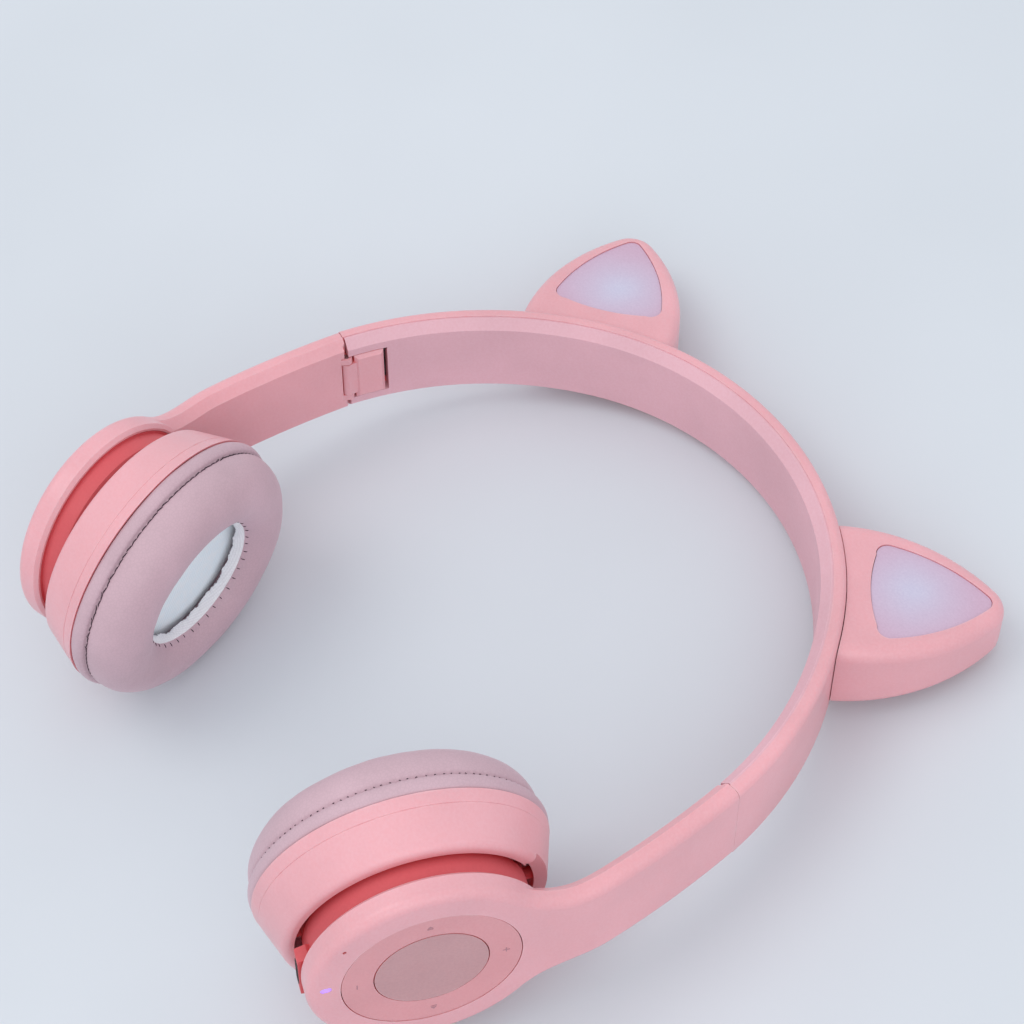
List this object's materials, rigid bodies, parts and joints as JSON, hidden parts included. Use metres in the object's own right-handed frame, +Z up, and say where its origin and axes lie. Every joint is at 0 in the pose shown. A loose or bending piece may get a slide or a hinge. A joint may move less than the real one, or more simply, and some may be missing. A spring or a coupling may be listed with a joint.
{
  "type": "foldable cat ear headset",
  "caption": "Wireless on-ear headset with folding, telescoping arms, swivelling cushioned cups, cat ears with light panels and disc controls.",
  "frame": {"origin": "middle of the bounding box in plan, on the surface the headset lies on", "axes": "+Z up, +X towards the wearer's right cup, the one with the controls, +Y towards the crown and the cat ears"},
  "size_m": [0.1856, 0.2002, 0.0728],
  "materials": {
    "pink_shell": "satin pink moulded plastic",
    "mauve_liner": "soft-touch mauve",
    "steel": "plain steel",
    "dark_plastic": "dark moulded plastic",
    "magnet": "plated magnet and cup",
    "film": "clear film",
    "cushion_leatherette": "mauve leatherette over foam",
    "cloth": "light woven cloth",
    "frosted_lens": "frosted lilac diffuser",
    "circuit_board": "solder-masked board",
    "switch_metal": "small metal cans",
    "battery_wrap": "foil pouch"
  },
  "bodies": {
    "headband": {"headband_shell": "pink_shell", "headband_liner": "mauve_liner", "headband_spring": "steel", "left_ear_shell": "pink_shell", "right_ear_shell": "pink_shell", "left_ear_lens": "frosted_lens", "right_ear_lens": "frosted_lens", "left_ear_light_board": "circuit_board", "right_ear_light_board": "circuit_board", "ear_screws": "steel"},
    "left_slider": {"left_slider_strip": "dark_plastic", "left_hinge_block": "pink_shell"},
    "left_arm": {"left_arm": "pink_shell", "left_hinge_pin": "steel", "left_hub": "pink_shell", "left_pivot_pins": "steel", "battery": "battery_wrap"},
    "left_cup": {"left_cup_housing": "pink_shell", "left_cup_baffle": "dark_plastic", "left_driver_frame": "dark_plastic", "left_driver_magnet": "magnet", "left_driver_cone": "film", "left_cushion_ring": "dark_plastic", "left_cushion": "cushion_leatherette", "left_speaker_cloth": "cloth", "left_hole_lining": "cloth"},
    "right_slider": {"right_slider_strip": "dark_plastic", "right_hinge_block": "pink_shell"},
    "right_arm": {"right_arm": "pink_shell", "right_hinge_pin": "steel", "right_hub": "pink_shell", "right_pivot_pins": "steel", "charging_port": "steel", "audio_jack": "dark_plastic", "control_board": "circuit_board", "radio_module": "circuit_board", "control_switches": "switch_metal", "button_switch": "switch_metal", "status_light": "frosted_lens", "microphone": "switch_metal"},
    "right_cup": {"right_cup_housing": "pink_shell", "right_cup_baffle": "dark_plastic", "right_driver_frame": "dark_plastic", "right_driver_magnet": "magnet", "right_driver_cone": "film", "right_cushion_ring": "dark_plastic", "right_cushion": "cushion_leatherette", "right_speaker_cloth": "cloth", "right_hole_lining": "cloth"},
    "ring_carrier": {"ring_carrier": "dark_plastic"},
    "control_ring": {"control_ring": "pink_shell"},
    "centre_button": {"centre_button": "pink_shell"}
  },
  "joints": [
    {"name": "left_extension", "type": "hinge", "parent": "headband", "child": "left_slider", "pos_m": [0.00893, -0.01081, 0.02783], "axis": [0.0148, 0.1552, 0.9878], "range_deg": [0, 11.3]},
    {"name": "left_fold", "type": "hinge", "parent": "left_slider", "child": "left_arm", "pos_m": [-0.08486, 0.00658, 0.0265], "axis": [0.0148, 0.1552, 0.9878], "range_deg": [-2.2, 87.8]},
    {"name": "left_cup_swivel", "type": "hinge", "parent": "left_arm", "child": "left_cup", "pos_m": [-0.06554, -0.06719, 0.0378], "axis": [-0.3371, 0.9308, -0.1412], "range_deg": [-15.6, 0.8]},
    {"name": "right_extension", "type": "hinge", "parent": "headband", "child": "right_slider", "pos_m": [-0.01035, -0.01076, 0.02811], "axis": [-0.0148, -0.1552, -0.9878], "range_deg": [0, 11.3]},
    {"name": "right_fold", "type": "hinge", "parent": "right_slider", "child": "right_arm", "pos_m": [0.08344, 0.0062, 0.02404], "axis": [0.0148, 0.1552, 0.9878], "range_deg": [-90, 0]},
    {"name": "right_cup_swivel", "type": "hinge", "parent": "right_arm", "child": "right_cup", "pos_m": [0.06394, -0.06722, 0.03587], "axis": [0.3007, 0.9415, -0.1524], "range_deg": [-16.2, 5.8]},
    {"name": "ring_rock_lengthwise", "type": "hinge", "parent": "right_arm", "child": "ring_carrier", "pos_m": [0.07856, -0.07181, 0.03637], "axis": [-0.0148, -0.1552, -0.9878], "range_deg": [-1, 1], "stiffness_Nm_per_rad": 3},
    {"name": "ring_rock_crosswise", "type": "hinge", "parent": "ring_carrier", "child": "control_ring", "pos_m": [0.07856, -0.07181, 0.03637], "axis": [0.3007, 0.9415, -0.1524], "range_deg": [-1, 1], "stiffness_Nm_per_rad": 3},
    {"name": "centre_button_press", "type": "slide", "parent": "right_arm", "child": "centre_button", "axis": [-0.9536, 0.2992, -0.0328], "range_m": [0, 0.0004], "stiffness_N_per_m": 2000, "springref_m": -0.0002}
  ]
}
